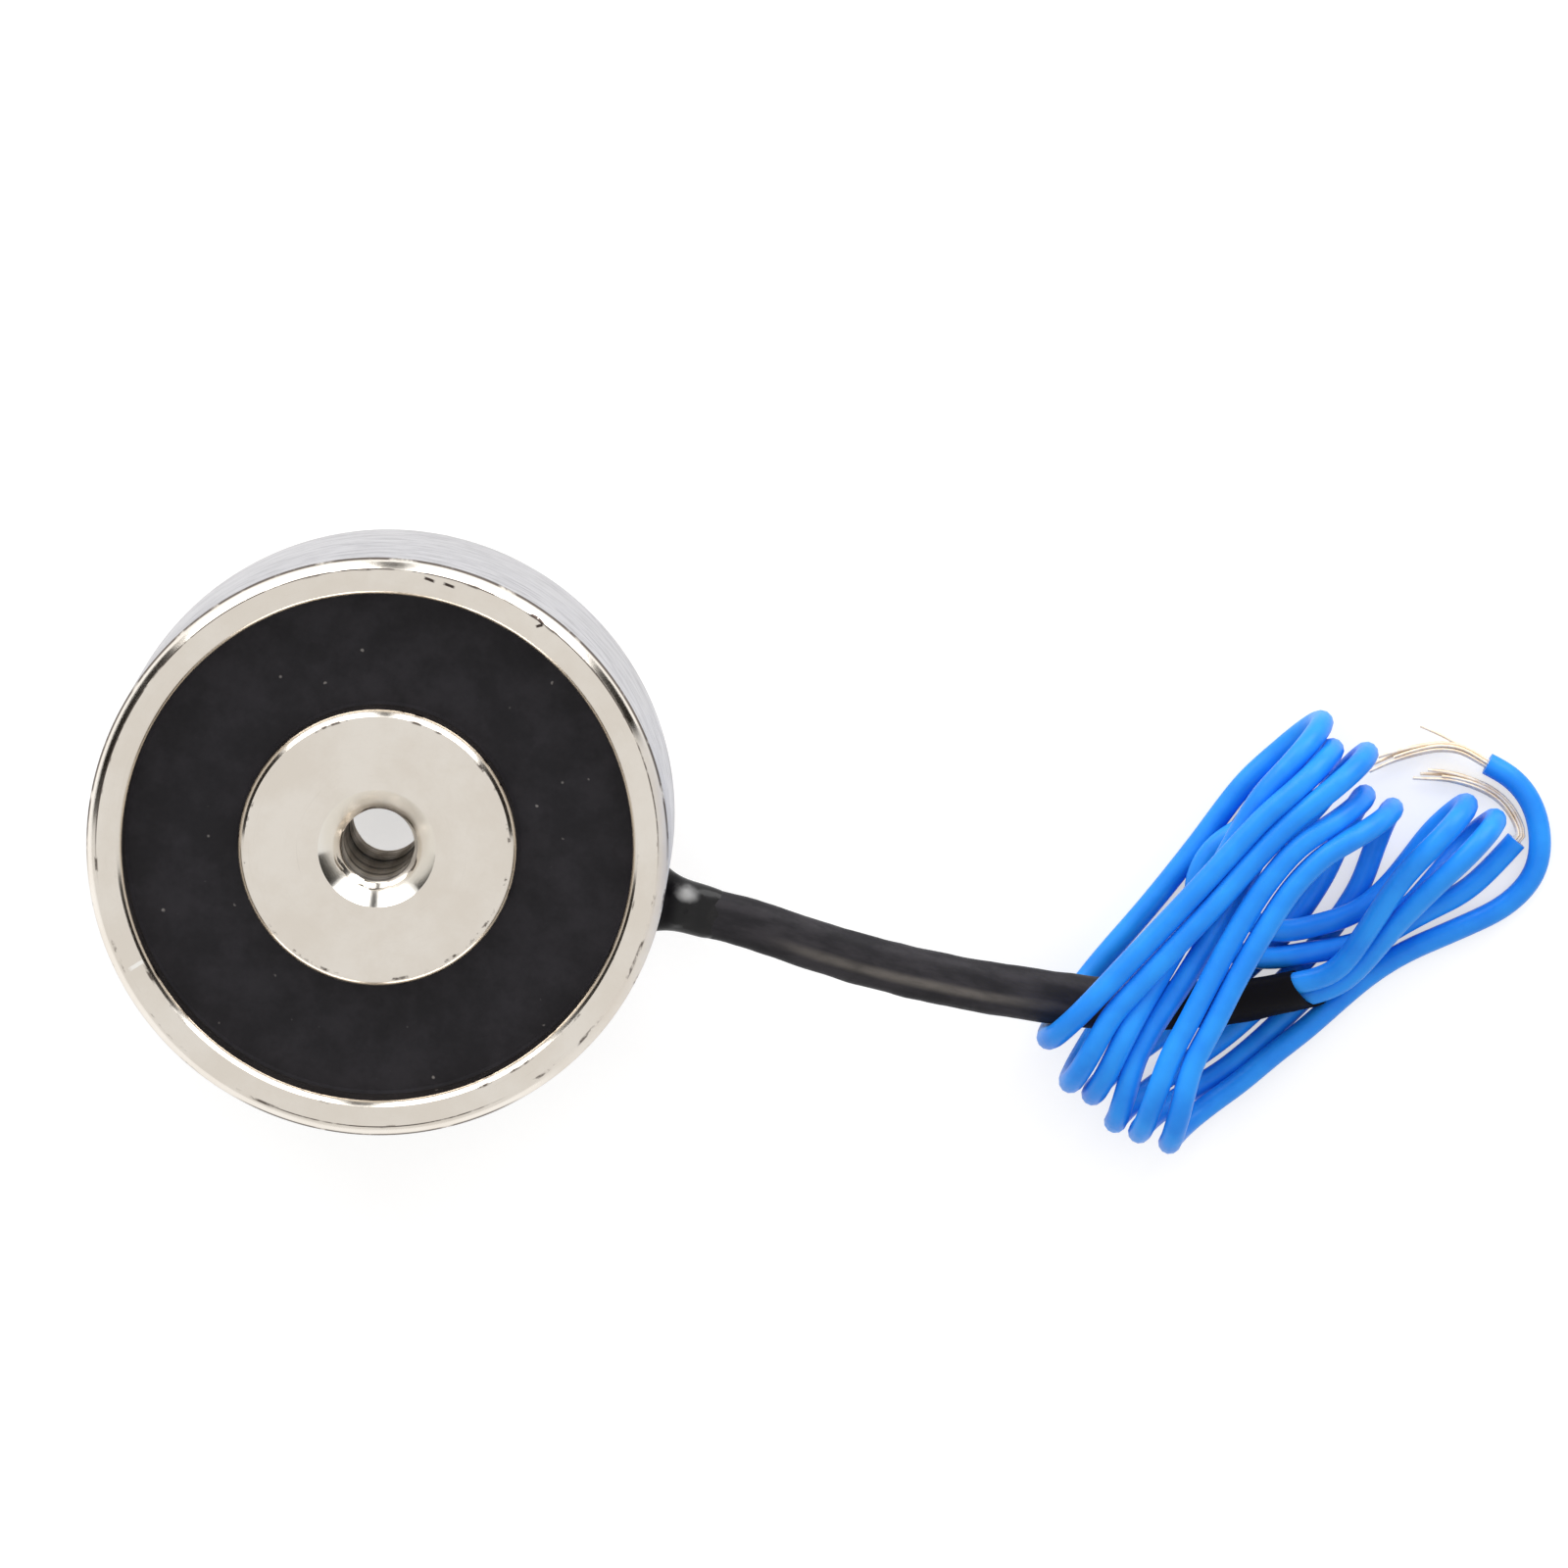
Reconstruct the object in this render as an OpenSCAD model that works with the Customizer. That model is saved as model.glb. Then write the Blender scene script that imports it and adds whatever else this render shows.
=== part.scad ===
// Holding electromagnet: a round pot with a potted coil and two flying leads.
// It stands on its mounting face, with the holding face up and the leads along +X.

/* [Pot] */
// Outside diameter of the pot
pot_d = 40; // [38:0.5:44]
// Height from the mounting face to the holding face
pot_h = 20; // [18:0.5:26]
// Thickness of the pot's wall
wall_t = 2.5; // [2:0.1:3]
// Thickness of the pot's floor
floor_t = 4.5; // [3.5:0.1:5.5]
// Diameter of the centre pole
pole_d = 19.2; // [16:0.2:20]
// Chamfer on the two outer edges
edge_chamfer = 0.7; // [0.2:0.1:1]
// Chamfer on the edge of the centre pole
pole_chamfer = 0.5; // [0.2:0.05:0.8]
// Chamfer on the inner edge of the rim
rim_chamfer = 0.45; // [0.2:0.05:0.8]

/* [Centre hole] */
// Tapping diameter of the centre thread
bore_d = 5; // [4:0.1:6]
// Diameter of the countersink at each end of the hole
countersink_d = 8.1; // [7:0.1:9]

/* [Coil] */
// Wall thickness of the bobbin
bobbin_t = 0.8; // [0.6:0.1:1.2]
// Thickness of the tape over the winding
tape_t = 0.2; // [0.1:0.05:0.4]
// Depth of resin over the bobbin's front flange
cover_t = 1.8; // [1:0.1:3]
// Depth of the resin's surface below the holding face
resin_recess = 3.5; // [1:0.1:4]
// How far the resin creeps up the groove's walls
resin_creep = 0.2; // [0.1:0.1:0.5]

/* [Leads] */
// Diameter of a lead over its insulation
wire_d = 1.6; // [1.4:0.05:1.6]
// Diameter of a bundle of stripped strands
strand_d = 0.8; // [0.5:0.05:0.8]
// Width of the sleeve over the two leads
sleeve_w = 3.7; // [3.4:0.1:3.8]
// Thickness of the sleeve over the two leads
sleeve_t = 2.3; // [1.8:0.1:2.3]
// Height of the lead hole above the mounting face
exit_z = 8; // [7.5:0.5:11]
// Diameter of the lead hole in the wall
exit_d = 4.8; // [4:0.1:5]
// Length of the sealing bead outside the wall
seal_l = 4; // [3:0.5:5]

/* [Hank] */
// Length of the wound hank of leads
hank_l = 33; // [30:0.5:34]
// Height of the hank
hank_h = 11.8; // [11:0.1:12]
// Width of the hank across its strands
hank_w = 10; // [8:0.5:10]

/* [Hidden] */
$fn = 96;

pot_r = pot_d / 2;
groove_r = pot_r - wall_t;
pole_r = pole_d / 2;
bore_r = bore_d / 2;
countersink_r = countersink_d / 2;
countersink_h = countersink_r - bore_r;

// Coil stack, from the pole outwards and from the floor up
pole_gap = 0.1;
flange_gap = 0.3;
lead_space = 2;
bobbin_r = pole_r + pole_gap;
hub_r = bobbin_r + bobbin_t;
flange_r = groove_r - flange_gap;
tape_r = groove_r - lead_space;
winding_r = tape_r - tape_t;
resin_z = pot_h - resin_recess;
flange_top = resin_z - cover_t;
winding_z0 = floor_t + bobbin_t;
winding_z1 = flange_top - bobbin_t;

// Leads inside the pot: behind the wall hole they turn apart and follow the groove
inner_r = groove_r - lead_space / 2;
inner_offset = 0.82;
elbow_r = 0.84;
inner_start = asin((inner_offset + elbow_r) / groove_r);
splice_start = 45;
splice_end = 75;
splice_d = 1.8;

// Sealing bead: a plug in the wall hole and a flare down to the sleeve
seal_in = groove_r - 0.05;
seal_base_r = 3.3;
seal_end_r = 1.95;
seal_steps = 6;

// Hank: where its middle lies, which way its strands run, and its wall of wire
hank_x = 58.5;
hank_y = 7.8;
hank_angle = 69;
hank_wall = 1.7;

// Routes of the parts of the leads that lie free
sleeve_route = [
  [pot_r + seal_l, 0, exit_z], [pot_r + seal_l + 2, 0, exit_z], [29, -0.2, 7.8], [33, -0.5, 7.2],
  [37, -0.6, 6.6], [41, -0.5, 6.1], [45, -0.2, 5.7], [49, 0.2, 5.2], [53, 0.8, 4.6],
  [57, 1.7, 3.8], [61, 3, 3.3], [65, 5, 3.3]
];
feed_route_a = [
  [64.75, 5.5, 3.9], [65.55, 5.9, 3.9], [66.5, 6.6, 4.3], [67.1, 7.5, 4.7], [68.1, 10.6, 5.7],
  [69.4, 14.8, 6.7], [71, 17.9, 7.3], [72.1, 19.9, 6.4], [72.6, 20.7, 4.1], [72.1, 19.9, 1.8],
  [71, 18, 0.85], [69.9, 15.3, 0.85], [68.7, 12.9, 1.6], [67, 10.9, 2.5], [64.8, 9.5, 2.55],
  [63.1, 8.6, 2.55]
];
feed_route_b = [
  [65.25, 4.5, 2.7], [66.05, 4.9, 2.7], [67.3, 5.8, 2.9], [68.1, 7, 3.3], [69.9, 11.2, 5.1],
  [71.6, 14.6, 6.5], [73.2, 17.4, 7.3], [74.3, 19.4, 6.4], [74.8, 20.2, 4.1], [74.3, 19.4, 1.8],
  [73.3, 17.5, 0.95], [72, 14.8, 1.7], [70.4, 11.9, 2.6], [68.2, 9.2, 2.6], [66.2, 8.1, 2.55],
  [64.3, 7.3, 2.55], [62.7, 6.5, 2.55]
];
tail_route_a = [
  [60.4, -5.2, 2.4], [62.5, -2.8, 1.95], [64.2, -0.3, 1.95], [66.1, 2.2, 1.7], [67.5, 4.3, 1.4],
  [69.3, 6.8, 0.85], [71.3, 9, 0.85], [74.5, 11.6, 0.85], [77.4, 14.2, 0.85], [78.7, 16.9, 0.85],
  [78.4, 19.3, 0.85], [77.2, 21.5, 0.85], [75.4, 22.9, 0.85], [73.4, 23.4, 0.85]
];
tail_route_b = [
  [61.1, -2.6, 0.85], [63.1, 0.2, 0.85], [64.9, 3.2, 0.85], [67, 6.7, 0.85], [69.6, 9.8, 0.85],
  [72, 12.2, 0.85], [74.3, 14.3, 0.85], [76, 17.1, 0.85], [76.8, 18.7, 0.85]
];
bare_route_a = [
  [73.4, 23.4, 0.85], [71.4, 23.9, 0.85], [70, 23.7, 0.5], [68.6, 23.1, 0.5], [66.8, 22, 0.5]
];
bare_route_b = [
  [76.8, 18.7, 0.85], [77, 19.1, 0.85], [76.5, 20, 0.5], [75.4, 21, 0.5], [74, 21.6, 0.5],
  [71.5, 21.8, 0.5], [68.6, 21.3, 0.5]
];

function unit(v) = v / norm(v);

// Direction of travel at point i of a route
function heading(p, i) = unit(p[min(i + 1, len(p) - 1)] - p[max(i - 1, 0)]);

// The part of v that is square to the direction t
function square_to(v, t) = unit(v - (v * t) * t);

// A vector square to the route at point i, carried along it without twist from straight up
function lift(p, i) = square_to(i == 0 ? [0, 0, 1] : lift(p, i - 1), heading(p, i));

// One ring of points round point i of a route
function ring(p, i, wide, high, sides) =
  let (up = lift(p, i), across = cross(heading(p, i), up))
    [for (k = [0:sides - 1]) let (turn = 360 * k / sides)
      p[i] + across * wide / 2 * cos(turn) + up * high / 2 * sin(turn)];

// A closed tube of the given width and height along a route
module tube(route, wide, high, sides = 8) {
  last = len(route) - 1;
  points = [for (i = [0:last]) each ring(route, i, wide, high, sides)];
  start_cap = [for (k = [0:sides - 1]) k];
  end_cap = [for (k = [sides - 1:-1:0]) last * sides + k];
  walls = [
    for (i = [0:last - 1], k = [0:sides - 1])
      [i * sides + k, (i + 1) * sides + k, (i + 1) * sides + (k + 1) % sides, i * sides + (k + 1) % sides]
  ];
  polyhedron(points, concat([start_cap, end_cap], walls));
}

// A ring round the centre line, between two radii and two heights
module band(r_in, r_out, z0, z1) {
  rotate_extrude()
    translate([r_in, z0])
      square([r_out - r_in, z1 - z0]);
}

// A piece of round wire that follows the groove between two angles
module groove_wire(d, from, to) {
  translate([0, 0, exit_z])
    rotate([0, 0, from])
      rotate_extrude(angle = to - from)
        translate([inner_r, 0])
          circle(d = d);
}

// The turned pot: wall, floor and centre pole in one piece
module pot_blank() {
  rotate_extrude()
    polygon([
      [countersink_r, 0],
      [pot_r - edge_chamfer, 0],
      [pot_r, edge_chamfer],
      [pot_r, pot_h - edge_chamfer],
      [pot_r - edge_chamfer, pot_h],
      [groove_r + rim_chamfer, pot_h],
      [groove_r, pot_h - rim_chamfer],
      [groove_r, floor_t],
      [pole_r, floor_t],
      [pole_r, pot_h - pole_chamfer],
      [pole_r - pole_chamfer, pot_h],
      [countersink_r, pot_h],
      [bore_r, pot_h - countersink_h],
      [bore_r, countersink_h]
    ]);
}

// A round bar through the wall, in line with the leads
module exit_bar(d, x0, x1) {
  translate([x0, 0, exit_z])
    rotate([0, 90, 0])
      cylinder(d = d, h = x1 - x0);
}

module pot_housing() {
  color("#d6d0c6")
    difference() {
      pot_blank();
      exit_bar(exit_d, groove_r - wall_t, pot_r + wall_t);
    }
}

module bobbin_blank() {
  rotate_extrude()
    polygon([
      [bobbin_r, floor_t],
      [flange_r, floor_t],
      [flange_r, winding_z0],
      [hub_r, winding_z0],
      [hub_r, winding_z1],
      [flange_r, winding_z1],
      [flange_r, flange_top],
      [bobbin_r, flange_top]
    ]);
}

module coil_bobbin() {
  color("#e8e4d8")
    bobbin_blank();
}

module coil_winding() {
  color("#b5652b")
    band(hub_r, winding_r, winding_z0, winding_z1);
}

module winding_tape() {
  color("#d9b23c")
    band(winding_r, tape_r, winding_z0, winding_z1);
}

// One lead inside the pot, with its elbow at the wall; way is 1 or -1 for the side that it turns to
module inner_lead(way) {
  mirror([0, way < 0 ? 1 : 0, 0]) {
    groove_wire(wire_d, inner_start, splice_start);
    rotate([0, 0, inner_start])
      translate([inner_r + elbow_r, 0, exit_z])
        rotate([0, 0, 180])
          rotate_extrude(angle = 90)
            translate([elbow_r, 0])
              circle(d = wire_d);
  }
}

module splice_sleeve(way) {
  mirror([0, way < 0 ? 1 : 0, 0])
    groove_wire(splice_d, splice_start, splice_end);
}

module inner_lead_a() {
  color("#2a82e8")
    inner_lead(1);
}

module inner_lead_b() {
  color("#2a82e8")
    inner_lead(-1);
}

module splice_sleeve_a() {
  color("#3a3a3c")
    splice_sleeve(1);
}

module splice_sleeve_b() {
  color("#3a3a3c")
    splice_sleeve(-1);
}

// Plug in the wall hole, and a bead that is moulded to the wall and flares down to the sleeve
module seal_blank() {
  exit_bar(exit_d, seal_in, pot_r);
  difference() {
    translate([pot_r, 0, exit_z])
      rotate([0, 90, 0])
        rotate_extrude()
          polygon(concat(
            [[0, -wall_t / 2], [seal_base_r, -wall_t / 2]],
            [for (i = [0:seal_steps]) let (s = i / seal_steps)
              [seal_end_r + (seal_base_r - seal_end_r) * pow(1 - s, 2), seal_l * s]],
            [[0, seal_l]]
          ));
    cylinder(r = pot_r, h = pot_h);
  }
}

module lead_exit_seal() {
  color("#262426")
    seal_blank();
}

// Resin that fills what the coil and its leads leave free, with edges that creep up the walls
module potting_compound() {
  color("#2e2c31")
    difference() {
      rotate_extrude()
        polygon([
          [pole_r, floor_t],
          [groove_r, floor_t],
          [groove_r, resin_z + resin_creep],
          [groove_r - resin_creep, resin_z],
          [pole_r + resin_creep, resin_z],
          [pole_r, resin_z + resin_creep]
        ]);
      bobbin_blank();
      band(hub_r, tape_r, winding_z0, winding_z1);
      for (way = [-1, 1]) {
        inner_lead(way);
        splice_sleeve(way);
      }
      exit_bar(exit_d, seal_in, pot_r);
    }
}

module lead_sleeve() {
  color("#2d2828")
    tube(sleeve_route, sleeve_w, sleeve_t, 12);
}

module feed_wire_a() {
  color("#2a82e8")
    tube(feed_route_a, wire_d, wire_d);
}

module feed_wire_b() {
  color("#2a82e8")
    tube(feed_route_b, wire_d, wire_d);
}

// Outline of the hank, seen along the sleeve: a bar with round ends
module hank_outline(inset) {
  end_r = hank_h / 2 - inset;
  reach = hank_l / 2 - hank_h / 2;
  square([2 * reach, 2 * end_r], center = true);
  for (end = [-1, 1])
    translate([end * reach, 0])
      circle(r = end_r);
}

module lead_hank() {
  color("#2f8cf2")
    translate([hank_x, hank_y, hank_h / 2])
      rotate([90, 0, hank_angle])
        linear_extrude(hank_w, center = true)
          difference() {
            hank_outline(0);
            hank_outline(hank_wall);
          }
}

module tail_wire_a() {
  color("#2a82e8")
    tube(tail_route_a, wire_d, wire_d);
}

module tail_wire_b() {
  color("#2a82e8")
    tube(tail_route_b, wire_d, wire_d);
}

module bare_end_a() {
  color("#e3d3bd")
    tube(bare_route_a, strand_d, strand_d);
}

module bare_end_b() {
  color("#e3d3bd")
    tube(bare_route_b, strand_d, strand_d);
}

pot_housing();
coil_bobbin();
coil_winding();
winding_tape();
inner_lead_a();
inner_lead_b();
splice_sleeve_a();
splice_sleeve_b();
potting_compound();
lead_exit_seal();
lead_sleeve();
feed_wire_a();
feed_wire_b();
lead_hank();
tail_wire_a();
tail_wire_b();
bare_end_a();
bare_end_b();
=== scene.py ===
"""Looks of a holding electromagnet: turned steel pot, potted coil, sleeve and a hank of blue leads."""

import math

import bmesh
import bpy
from mathutils import Matrix, Vector, noise


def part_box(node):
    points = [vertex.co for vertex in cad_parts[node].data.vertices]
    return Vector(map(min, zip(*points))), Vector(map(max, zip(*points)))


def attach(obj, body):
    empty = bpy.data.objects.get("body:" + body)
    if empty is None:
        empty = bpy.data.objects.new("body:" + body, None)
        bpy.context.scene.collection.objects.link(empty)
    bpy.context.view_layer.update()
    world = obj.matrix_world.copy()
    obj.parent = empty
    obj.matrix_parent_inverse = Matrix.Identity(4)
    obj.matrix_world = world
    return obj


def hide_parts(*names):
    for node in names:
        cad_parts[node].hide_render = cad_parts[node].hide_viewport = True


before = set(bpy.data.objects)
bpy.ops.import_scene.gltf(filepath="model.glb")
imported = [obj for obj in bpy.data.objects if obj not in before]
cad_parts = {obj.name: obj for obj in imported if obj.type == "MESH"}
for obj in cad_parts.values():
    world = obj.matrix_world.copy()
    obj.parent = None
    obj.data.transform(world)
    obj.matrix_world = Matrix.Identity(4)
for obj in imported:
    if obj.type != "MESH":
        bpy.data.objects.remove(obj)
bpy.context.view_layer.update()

MM = 0.001
scene = bpy.context.scene


def metres(points):
    """Points given in millimetres, as vectors in metres."""
    return [Vector(p) * MM for p in points]


# Camera: above the holding face, tipped a little, with the leads running to the right

IMAGE_ROLL = math.radians(15)
CAMERA_PLACE = Vector((9.8, 111.9, 812.1)) * MM
CAMERA_TARGET = Vector((25.8, 11.6, 20.0)) * MM
CAMERA_FOV = math.radians(7.693)
image_up = Vector((-math.sin(IMAGE_ROLL), math.cos(IMAGE_ROLL), 0))
image_right = Vector((math.cos(IMAGE_ROLL), math.sin(IMAGE_ROLL), 0))


def facing(place, target, up):
    """Matrix of a camera or lamp at place that looks at target."""
    back = (place - target).normalized()
    side = up.cross(back).normalized()
    turn = Matrix((side, back.cross(side), back)).transposed()
    return Matrix.Translation(place) @ turn.to_4x4()


def make_camera():
    data = bpy.data.cameras.new("camera")
    data.sensor_fit = "HORIZONTAL"
    data.angle = CAMERA_FOV
    data.clip_start = 0.01
    data.clip_end = 20
    camera = bpy.data.objects.new("camera", data)
    camera.matrix_world = facing(CAMERA_PLACE, CAMERA_TARGET, image_up)
    scene.collection.objects.link(camera)
    scene.camera = camera


make_camera()


# Pot sizes, read from the frame

_, pot_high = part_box("pot_housing")
POT_R = pot_high.x
POT_H = pot_high.z
resin_low, resin_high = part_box("potting_compound")
GROOVE_R = resin_high.x
FLOOR_T = resin_low.z
POLE_R = 9.6 * MM
EDGE_CHAMFER = 0.7 * MM
POLE_CHAMFER = 0.5 * MM
RIM_CHAMFER = 0.45 * MM
BORE_R = 2.5 * MM
COUNTERSINK_R = 4.05 * MM
THREAD_R = 3.0 * MM
THREAD_PITCH = 1.0 * MM
EXIT_Z = 8 * MM


# Shared mesh and curve tools


def mesh_piece(name, build, material, sharp_angle=None):
    """A mesh object made by build(bmesh), smooth apart from edges over sharp_angle."""
    data = bpy.data.meshes.new(name)
    bm = bmesh.new()
    build(bm)
    bmesh.ops.recalc_face_normals(bm, faces=bm.faces)
    for face in bm.faces:
        face.smooth = True
    bm.to_mesh(data)
    bm.free()
    if sharp_angle is not None:
        data.set_sharp_from_angle(angle=sharp_angle)
    data.materials.append(material)
    piece = bpy.data.objects.new(name, data)
    scene.collection.objects.link(piece)
    return piece


def skin(bm, rings, close_round=True, loop=False):
    """Faces between neighbouring rings of vertices; loop also joins the last ring to the first."""
    count = len(rings[0])
    last = count if close_round else count - 1
    pairs = list(zip(rings, rings[1:]))
    if loop:
        pairs.append((rings[-1], rings[0]))
    for near, far in pairs:
        for k in range(last):
            m = (k + 1) % count
            bm.faces.new((near[k], near[m], far[m], far[k]))


def smooth_path(points, step):
    """A dense path with even spacing along a centripetal spline through the points."""
    ends = [2 * points[0] - points[1]] + list(points) + [2 * points[-1] - points[-2]]
    dense = []
    for p0, p1, p2, p3 in zip(ends, ends[1:], ends[2:], ends[3:]):
        t1 = math.sqrt((p1 - p0).length)
        t2 = t1 + math.sqrt((p2 - p1).length)
        t3 = t2 + math.sqrt((p3 - p2).length)
        pieces = max(4, math.ceil((p2 - p1).length / step * 2))
        for k in range(pieces):
            t = t1 + (t2 - t1) * k / pieces
            a1 = p0.lerp(p1, t / t1)
            a2 = p1.lerp(p2, (t - t1) / (t2 - t1))
            a3 = p2.lerp(p3, (t - t2) / (t3 - t2))
            b1 = a1.lerp(a2, t / t2)
            b2 = a2.lerp(a3, (t - t1) / (t3 - t1))
            dense.append(b1.lerp(b2, (t - t1) / (t2 - t1)))
    dense.append(points[-1])
    return even_path(dense, step)


def even_path(points, step):
    """The same path with points at an even spacing near step."""
    marks = [0.0]
    for a, b in zip(points, points[1:]):
        marks.append(marks[-1] + (b - a).length)
    count = max(2, round(marks[-1] / step))
    path = []
    k = 0
    for i in range(count + 1):
        want = marks[-1] * i / count
        while k < len(points) - 2 and marks[k + 1] < want:
            k += 1
        path.append(points[k].lerp(points[k + 1], (want - marks[k]) / (marks[k + 1] - marks[k])))
    return path


def headings(path):
    """Unit direction of travel at each point of a path."""
    last = len(path) - 1
    return [(path[min(i + 1, last)] - path[max(i - 1, 0)]).normalized() for i in range(last + 1)]


def wire_piece(name, paths, radius, material, sides=4):
    """Round wires along dense paths, one spline each."""
    data = bpy.data.curves.new(name, "CURVE")
    data.dimensions = "3D"
    data.bevel_depth = radius
    data.bevel_resolution = sides
    data.use_fill_caps = True
    for path in paths:
        spline = data.splines.new("POLY")
        spline.points.add(len(path) - 1)
        spline.use_smooth = True
        for point, place in zip(spline.points, path):
            point.co = (*place, 1)
    data.materials.append(material)
    piece = bpy.data.objects.new(name, data)
    scene.collection.objects.link(piece)
    return piece


# Shader tools


class Shader:
    """A node material with one principled surface."""

    def __init__(self, name):
        self.material = bpy.data.materials.new(name)
        self.material.use_nodes = True
        self.tree = self.material.node_tree
        self.surface = self.tree.nodes["Principled BSDF"]

    def node(self, kind, inputs=(), **settings):
        made = self.tree.nodes.new("ShaderNode" + kind)
        for key, value in settings.items():
            setattr(made, key, value)
        for key, value in dict(inputs).items():
            self.put(made.inputs[key], value)
        return made

    def put(self, socket, value):
        if isinstance(value, bpy.types.NodeSocket):
            self.tree.links.new(value, socket)
        else:
            socket.default_value = value

    def math(self, operation, *values):
        made = self.node("Math", enumerate(values), operation=operation)
        return made.outputs[0]

    def both(self, *masks):
        """Where all masks hold: their product."""
        whole = masks[0]
        for mask in masks[1:]:
            whole = self.math("MULTIPLY", whole, mask)
        return whole

    def either(self, *masks):
        """Where any mask holds: the greatest of them."""
        whole = masks[0]
        for mask in masks[1:]:
            whole = self.math("MAXIMUM", whole, mask)
        return whole

    def total(self, *parts):
        """Sum of values, each given with its weight."""
        whole = 0.0
        for value, weight in parts:
            whole = self.math("ADD", whole, self.math("MULTIPLY", value, weight))
        return whole

    def off(self, value, middle):
        """How far value is from middle."""
        return self.math("ABSOLUTE", self.math("SUBTRACT", value, middle))

    def place(self):
        """Position on the object, in metres."""
        return self.node("TexCoord").outputs["Object"]

    def apart(self, vector):
        """The three parts of a vector."""
        return self.node("SeparateXYZ", {0: vector}).outputs

    def noise(self, vector, scale, detail=3.0, roughness=0.5):
        inputs = {"Vector": vector, "Scale": scale, "Detail": detail, "Roughness": roughness}
        return self.node("TexNoise", inputs).outputs["Fac"]

    def band(self, value, low, high, to_low=0.0, to_high=1.0):
        """A smooth step of value from low to high."""
        inputs = {"Value": value, "From Min": low, "From Max": high, "To Min": to_low, "To Max": to_high}
        made = self.node("MapRange", inputs, interpolation_type="SMOOTHSTEP", clamp=True)
        return made.outputs[0]

    def mix(self, factor, first, second):
        made = self.node("Mix", {0: factor, 6: first, 7: second}, data_type="RGBA", clamp_factor=True)
        return made.outputs[2]

    def bump(self, height, distance, strength=1.0):
        inputs = {"Height": height, "Distance": distance, "Strength": strength}
        return self.node("Bump", inputs).outputs[0]

    def finish(self, **inputs):
        for key, value in inputs.items():
            name = key.replace("_", " ").title().replace("Ior", "IOR")
            self.put(self.surface.inputs[name], value)
        return self.material


# Plated steel: satin turned faces, a dull bore, streaks round the wall and worn edges

# The outer edge is worn in lines on this side of the pot, as a turn from +X, and the groove's rim
# opposite; on the opposite side of the outer edge a thin line is painted shade
WORN_TURN = math.radians(105)
# Marks on the holding face: middle, turn, length, width in millimetres and degrees, and whether bright
MARKS = [
    (-1.26, 18.89, -5, 0.75, 0.2, False), (0.16, 18.85, -5, 0.75, 0.2, False),
    (6.33, 18.30, -12, 0.6, 0.2, False), (6.83, 18.09, -35, 0.54, 0.22, False),
    (6.82, 17.78, 29, 0.5, 0.2, False), (-13.88, -12.09, 47, 1.1, 0.28, True),
]
BRIGHT_MARK = (0.99, 0.98, 0.95, 1)
DARK_MARK = (0.06, 0.045, 0.04, 1)


def steel_bore(s, xyz, radius, tone):
    """Darker roots, and painted shade and highlight in bands along the thread: the new tone and the bore's
    mask.
    """
    below_countersink = s.band(xyz[2], POT_H - 1.5 * MM, POT_H - 1.8 * MM)
    in_bore = s.both(s.band(radius, THREAD_R + 0.1 * MM, THREAD_R), below_countersink)
    roots = s.band(radius, BORE_R + 0.06 * MM, BORE_R + 0.3 * MM, 0.0, 0.6)
    tone = s.mix(s.both(in_bore, roots), tone, (0.34, 0.29, 0.25, 1))
    climb = s.total((xyz[2], 1.0), (xyz[0], 0.06))
    thread_band_place = s.node("CombineXYZ", {0: s.math("MULTIPLY", xyz[1], 0.1), 2: climb}).outputs[0]
    # Painted shade and highlight: dark and pale bands along the thread
    thread_shade_bands = s.noise(thread_band_place, 480, 2, 0.6)
    tone = s.mix(s.both(in_bore, s.band(thread_shade_bands, 0.5, 0.62, 0, 0.7)), tone, (0.07, 0.055, 0.05, 1))
    tone = s.mix(s.both(in_bore, s.band(thread_shade_bands, 0.5, 0.4, 0, 0.9)), tone, (0.93, 0.88, 0.82, 1))
    return tone, in_bore


def steel_side(s, xyz, radius, tone):
    """Cool, mottled streaks round the outside of the wall: the new tone and the wall's mask."""
    below_chamfer = s.band(xyz[2], POT_H - EDGE_CHAMFER, POT_H - EDGE_CHAMFER - 0.1 * MM)
    side = s.both(s.band(radius, POT_R - 0.2 * MM, POT_R - 0.1 * MM), below_chamfer)
    streak_place = s.node("Mapping", {"Vector": s.place(), "Scale": (0.2, 0.2, 1)}).outputs[0]
    streaks = s.band(s.noise(streak_place, 1500, 6, 0.75), 0.4, 0.68)
    streaked = s.mix(streaks, (0.74, 0.74, 0.76, 1), (0.46, 0.46, 0.48, 1))
    return s.mix(side, tone, streaked), side


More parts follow.
